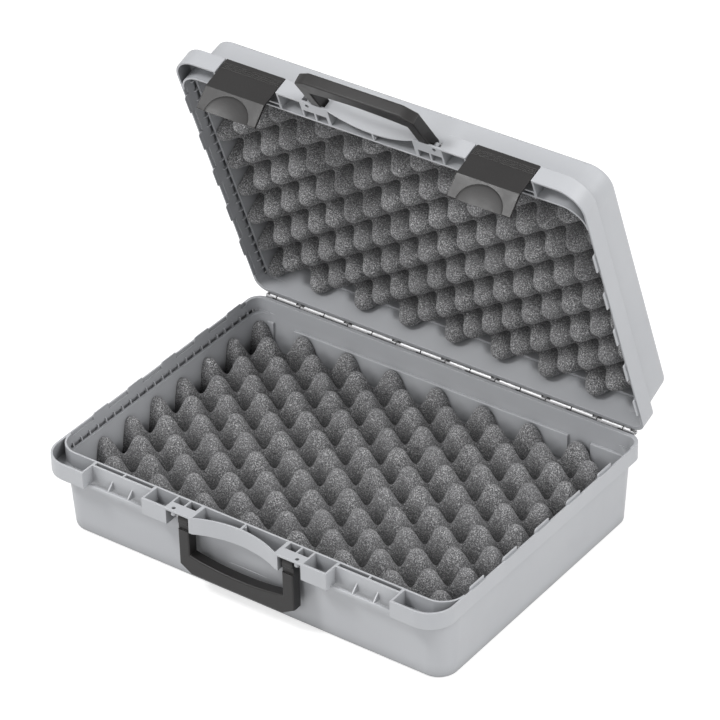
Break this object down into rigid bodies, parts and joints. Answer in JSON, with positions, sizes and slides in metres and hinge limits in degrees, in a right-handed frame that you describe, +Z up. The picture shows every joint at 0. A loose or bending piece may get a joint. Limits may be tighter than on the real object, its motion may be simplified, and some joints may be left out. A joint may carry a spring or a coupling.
{
  "type": "foam-lined hard case",
  "caption": "Open hard carry case: two moulded shells on a piano hinge, egg-crate foam in both, hooked flap latches on the lid and folding handles.",
  "frame": {"origin": "middle of the base's flat underside, which rests on the floor", "axes": "+X along the hinge to the case's right, +Y from the front to the hinge, +Z up"},
  "size_m": [0.44, 0.3772, 0.4421],
  "materials": {
    "silver_plastic": "fine moulded texture, low sheen",
    "black_plastic": "satin",
    "foam": "open-cell foam, matt",
    "steel": "bright rolled strip"
  },
  "bodies": {
    "base": {"base_shell": "silver_plastic", "base_foam": "foam", "base_hinge_leaf": "steel", "hinge_pin": "steel", "base_hinge_rivet_1": "steel", "base_hinge_rivet_2": "steel", "base_hinge_rivet_3": "steel", "base_hinge_rivet_4": "steel", "base_hinge_rivet_5": "steel", "base_handle_pin_left": "steel", "base_handle_pin_right": "steel"},
    "lid": {"lid_shell": "silver_plastic", "lid_foam": "foam", "lid_hinge_leaf": "steel", "latch_pin_left": "steel", "latch_pin_right": "steel", "lid_hinge_rivet_1": "steel", "lid_hinge_rivet_2": "steel", "lid_hinge_rivet_3": "steel", "lid_hinge_rivet_4": "steel", "lid_hinge_rivet_5": "steel", "lid_handle_pin_left": "steel", "lid_handle_pin_right": "steel"},
    "left_latch": {"latch_left": "black_plastic"},
    "right_latch": {"latch_right": "black_plastic"},
    "base_grip": {"base_handle": "black_plastic"},
    "lid_grip": {"lid_handle": "black_plastic"}
  },
  "joints": [
    {"name": "lid_hinge", "type": "hinge", "parent": "base", "child": "lid", "pos_m": [0, 0.1671, 0.087], "axis": [-1, 0, 0], "range_deg": [-70, 110]},
    {"name": "left_latch_pivot", "type": "hinge", "parent": "lid", "child": "left_latch", "pos_m": [-0.1361, 0.06719, 0.3966], "axis": [-1, 0, 0], "range_deg": [0, 100]},
    {"name": "right_latch_pivot", "type": "hinge", "parent": "lid", "child": "right_latch", "pos_m": [0.1361, 0.06719, 0.3966], "axis": [-1, 0, 0], "range_deg": [0, 100]},
    {"name": "base_handle_pivot", "type": "hinge", "parent": "base", "child": "base_grip", "pos_m": [0, -0.1555, 0.078], "axis": [-1, 0, 0], "range_deg": [0, 106]},
    {"name": "lid_handle_pivot", "type": "hinge", "parent": "lid", "child": "lid_grip", "pos_m": [0, 0.06522, 0.39322], "axis": [1, 0, 0], "range_deg": [-106, 0]}
  ]
}
